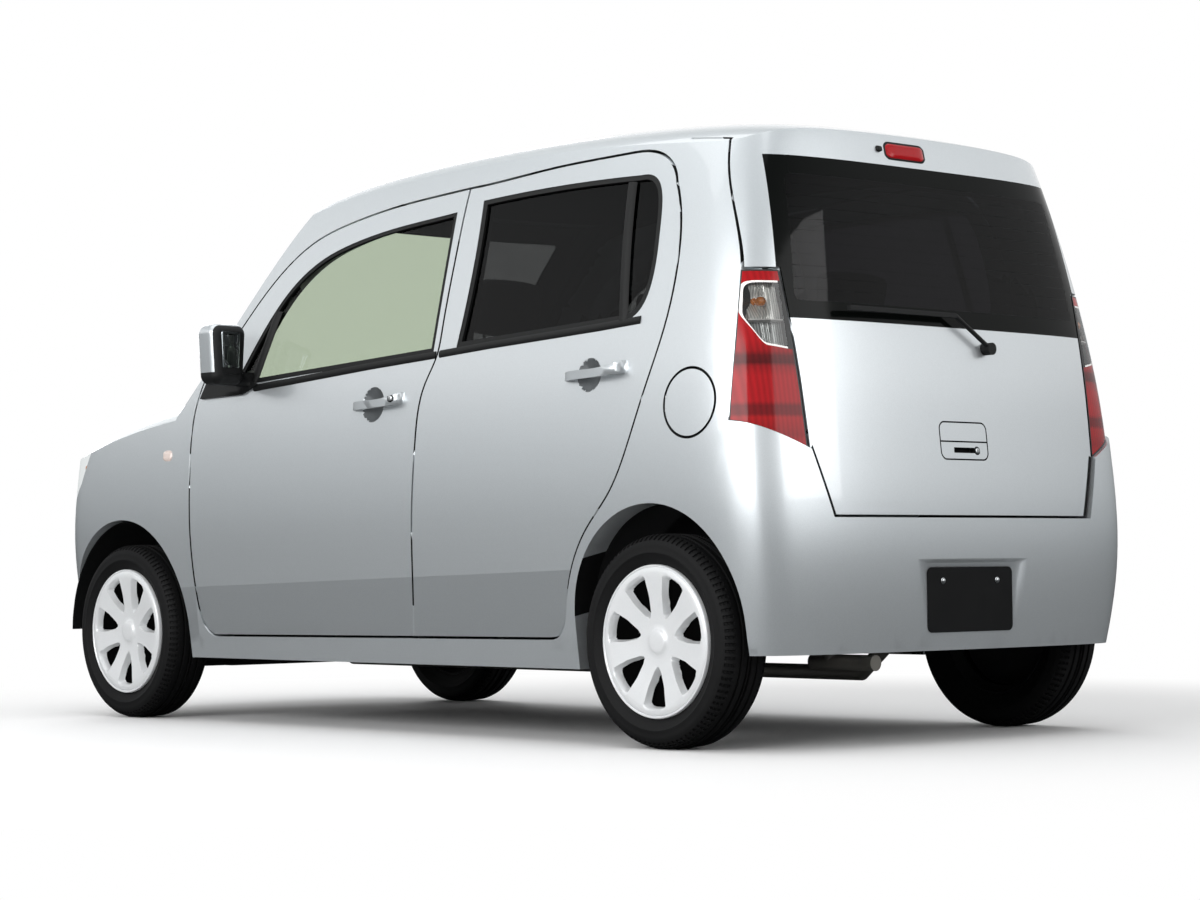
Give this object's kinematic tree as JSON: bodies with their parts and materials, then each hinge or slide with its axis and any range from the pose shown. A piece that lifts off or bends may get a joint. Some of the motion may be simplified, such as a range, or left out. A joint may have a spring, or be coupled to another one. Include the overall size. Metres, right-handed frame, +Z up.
{
  "type": "small tall-bodied five-door car",
  "caption": "Small tall five-door hatchback car with hollow cabin, hinged doors, bonnet, tailgate and fuel lid, steered front wheels and rolling tyres.",
  "frame": {"origin": "on the ground under the middle of the car's bounding box", "axes": "+X forward, +Y to the left, +Z up"},
  "size_m": [3.3953, 1.7362, 1.64],
  "materials": {
    "body_paint": "metallic silver clear coat",
    "side_glass": "green tint",
    "privacy_glass": "dark tint",
    "screen_glass": "green tint",
    "lamp_glass": "clear lens",
    "tail_lens": "red lens",
    "black_plastic": "grained",
    "gloss_black": "gloss",
    "wheel_silver": "silver paint",
    "tyre_rubber": "moulded",
    "chassis_black": "satin black",
    "cast_metal": "as cast",
    "exhaust_steel": "weathered",
    "seat_fabric": "woven",
    "dash_plastic": "grained",
    "floor_paint": "satin"
  },
  "bodies": {
    "root": {"side_left": "body_paint", "side_right": "body_paint", "roof": "body_paint", "door_posts": "body_paint", "floor_pan": "floor_paint", "cowl": "black_plastic", "windscreen": "screen_glass", "front_fenders": "body_paint", "front_bumper": "body_paint", "rear_bumper": "body_paint", "grille": "black_plastic", "headlamps": "lamp_glass", "tail_lamps": "tail_lens", "engine": "cast_metal", "front_subframe": "chassis_black", "rear_axle": "chassis_black", "exhaust": "exhaust_steel", "dashboard": "dash_plastic", "front_seats": "seat_fabric", "rear_seat": "seat_fabric"},
    "door_front_left": {"door_front_left": "body_paint", "glass_front_left": "side_glass", "mirror_left": "body_paint"},
    "door_front_right": {"door_front_right": "body_paint", "glass_front_right": "side_glass", "mirror_right": "body_paint"},
    "door_rear_left": {"door_rear_left": "body_paint", "glass_rear_left": "privacy_glass"},
    "door_rear_right": {"door_rear_right": "body_paint", "glass_rear_right": "privacy_glass"},
    "tailgate": {"tailgate": "body_paint", "tailgate_glass": "privacy_glass", "rear_wiper": "black_plastic"},
    "bonnet": {"bonnet": "body_paint"},
    "fuel_lid": {"fuel_lid": "body_paint"},
    "knuckle_left": {"knuckle_left": "cast_metal"},
    "knuckle_right": {"knuckle_right": "cast_metal"},
    "wheel_front_left": {"tyre_front_left": "tyre_rubber", "wheel_front_left": "wheel_silver"},
    "wheel_front_right": {"tyre_front_right": "tyre_rubber", "wheel_front_right": "wheel_silver"},
    "wheel_rear_left": {"tyre_rear_left": "tyre_rubber", "wheel_rear_left": "wheel_silver"},
    "wheel_rear_right": {"tyre_rear_right": "tyre_rubber", "wheel_rear_right": "wheel_silver"}
  },
  "joints": [
    {"name": "steer_left", "type": "hinge", "parent": "root", "child": "knuckle_left", "pos_m": [1.1625, 0.545, 0.27], "axis": [0, 0, 1], "range_deg": [-35, 35]},
    {"name": "roll_front_left", "type": "hinge", "parent": "knuckle_left", "child": "wheel_front_left", "pos_m": [1.1625, 0.6475, 0.27], "axis": [0, 1, 0], "continuous": true},
    {"name": "roll_rear_left", "type": "hinge", "parent": "root", "child": "wheel_rear_left", "pos_m": [-1.2625, 0.645, 0.27], "axis": [0, 1, 0], "continuous": true},
    {"name": "hinge_door_front_left", "type": "hinge", "parent": "root", "child": "door_front_left", "pos_m": [0.7151, 0.72, 0.7], "axis": [0, 0, -1], "range_deg": [0, 65]},
    {"name": "hinge_door_rear_left", "type": "hinge", "parent": "root", "child": "door_rear_left", "pos_m": [-0.375, 0.72, 0.7], "axis": [0, 0, -1], "range_deg": [0, 65]},
    {"name": "steer_right", "type": "hinge", "parent": "root", "child": "knuckle_right", "pos_m": [1.1625, -0.545, 0.27], "axis": [0, 0, 1], "range_deg": [-35, 35]},
    {"name": "roll_front_right", "type": "hinge", "parent": "knuckle_right", "child": "wheel_front_right", "pos_m": [1.1625, -0.6475, 0.27], "axis": [0, 1, 0], "continuous": true},
    {"name": "roll_rear_right", "type": "hinge", "parent": "root", "child": "wheel_rear_right", "pos_m": [-1.2625, -0.645, 0.27], "axis": [0, 1, 0], "continuous": true},
    {"name": "hinge_door_front_right", "type": "hinge", "parent": "root", "child": "door_front_right", "pos_m": [0.7151, -0.72, 0.7], "axis": [0, 0, 1], "range_deg": [0, 65]},
    {"name": "hinge_door_rear_right", "type": "hinge", "parent": "root", "child": "door_rear_right", "pos_m": [-0.375, -0.72, 0.7], "axis": [0, 0, 1], "range_deg": [0, 65]},
    {"name": "hinge_tailgate", "type": "hinge", "parent": "root", "child": "tailgate", "pos_m": [-1.409, 0, 1.592], "axis": [0, 1, 0], "range_deg": [0, 80]},
    {"name": "hinge_bonnet", "type": "hinge", "parent": "root", "child": "bonnet", "pos_m": [0.932, 0, 1.014], "axis": [0, -1, 0], "range_deg": [0, 50]},
    {"name": "hinge_fuel_lid", "type": "hinge", "parent": "root", "child": "fuel_lid", "pos_m": [-1.3219, 0.7224, 0.862], "axis": [0, 0, -1], "range_deg": [0, 85]}
  ],
  "couplings": [
    {"joint": "steer_right", "follows": "steer_left", "ratio": 1}
  ]
}
